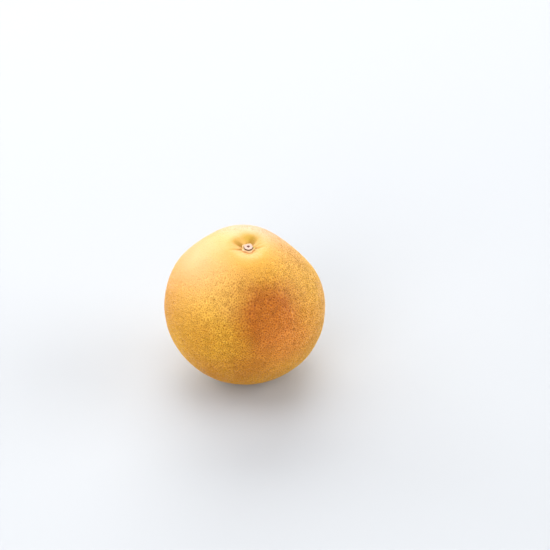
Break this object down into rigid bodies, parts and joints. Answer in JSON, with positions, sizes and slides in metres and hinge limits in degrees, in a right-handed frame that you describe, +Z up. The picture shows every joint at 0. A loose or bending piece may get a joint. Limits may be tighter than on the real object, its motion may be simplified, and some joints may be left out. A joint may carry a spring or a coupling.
{
  "type": "grapefruit",
  "caption": "Whole ripe grapefruit with a pitted yellow-orange peel, standing on its blossom end, with the dried stem button in its creased dimple.",
  "frame": {"origin": "on the surface that the fruit rests on, under the middle of its bounding box", "axes": "+Z up, roughly along the stem axis, which leans 8.3 degrees towards -Y and 3.4 degrees towards +X; -Y is the side that faces the picture's viewer and +X is that viewer's right"},
  "size_m": [0.1044, 0.1044, 0.1026],
  "materials": {
    "peel": "satin",
    "button": "matte"
  },
  "bodies": {
    "root": {"fruit": "peel", "stem_button": "button"}
  },
  "joints": []
}
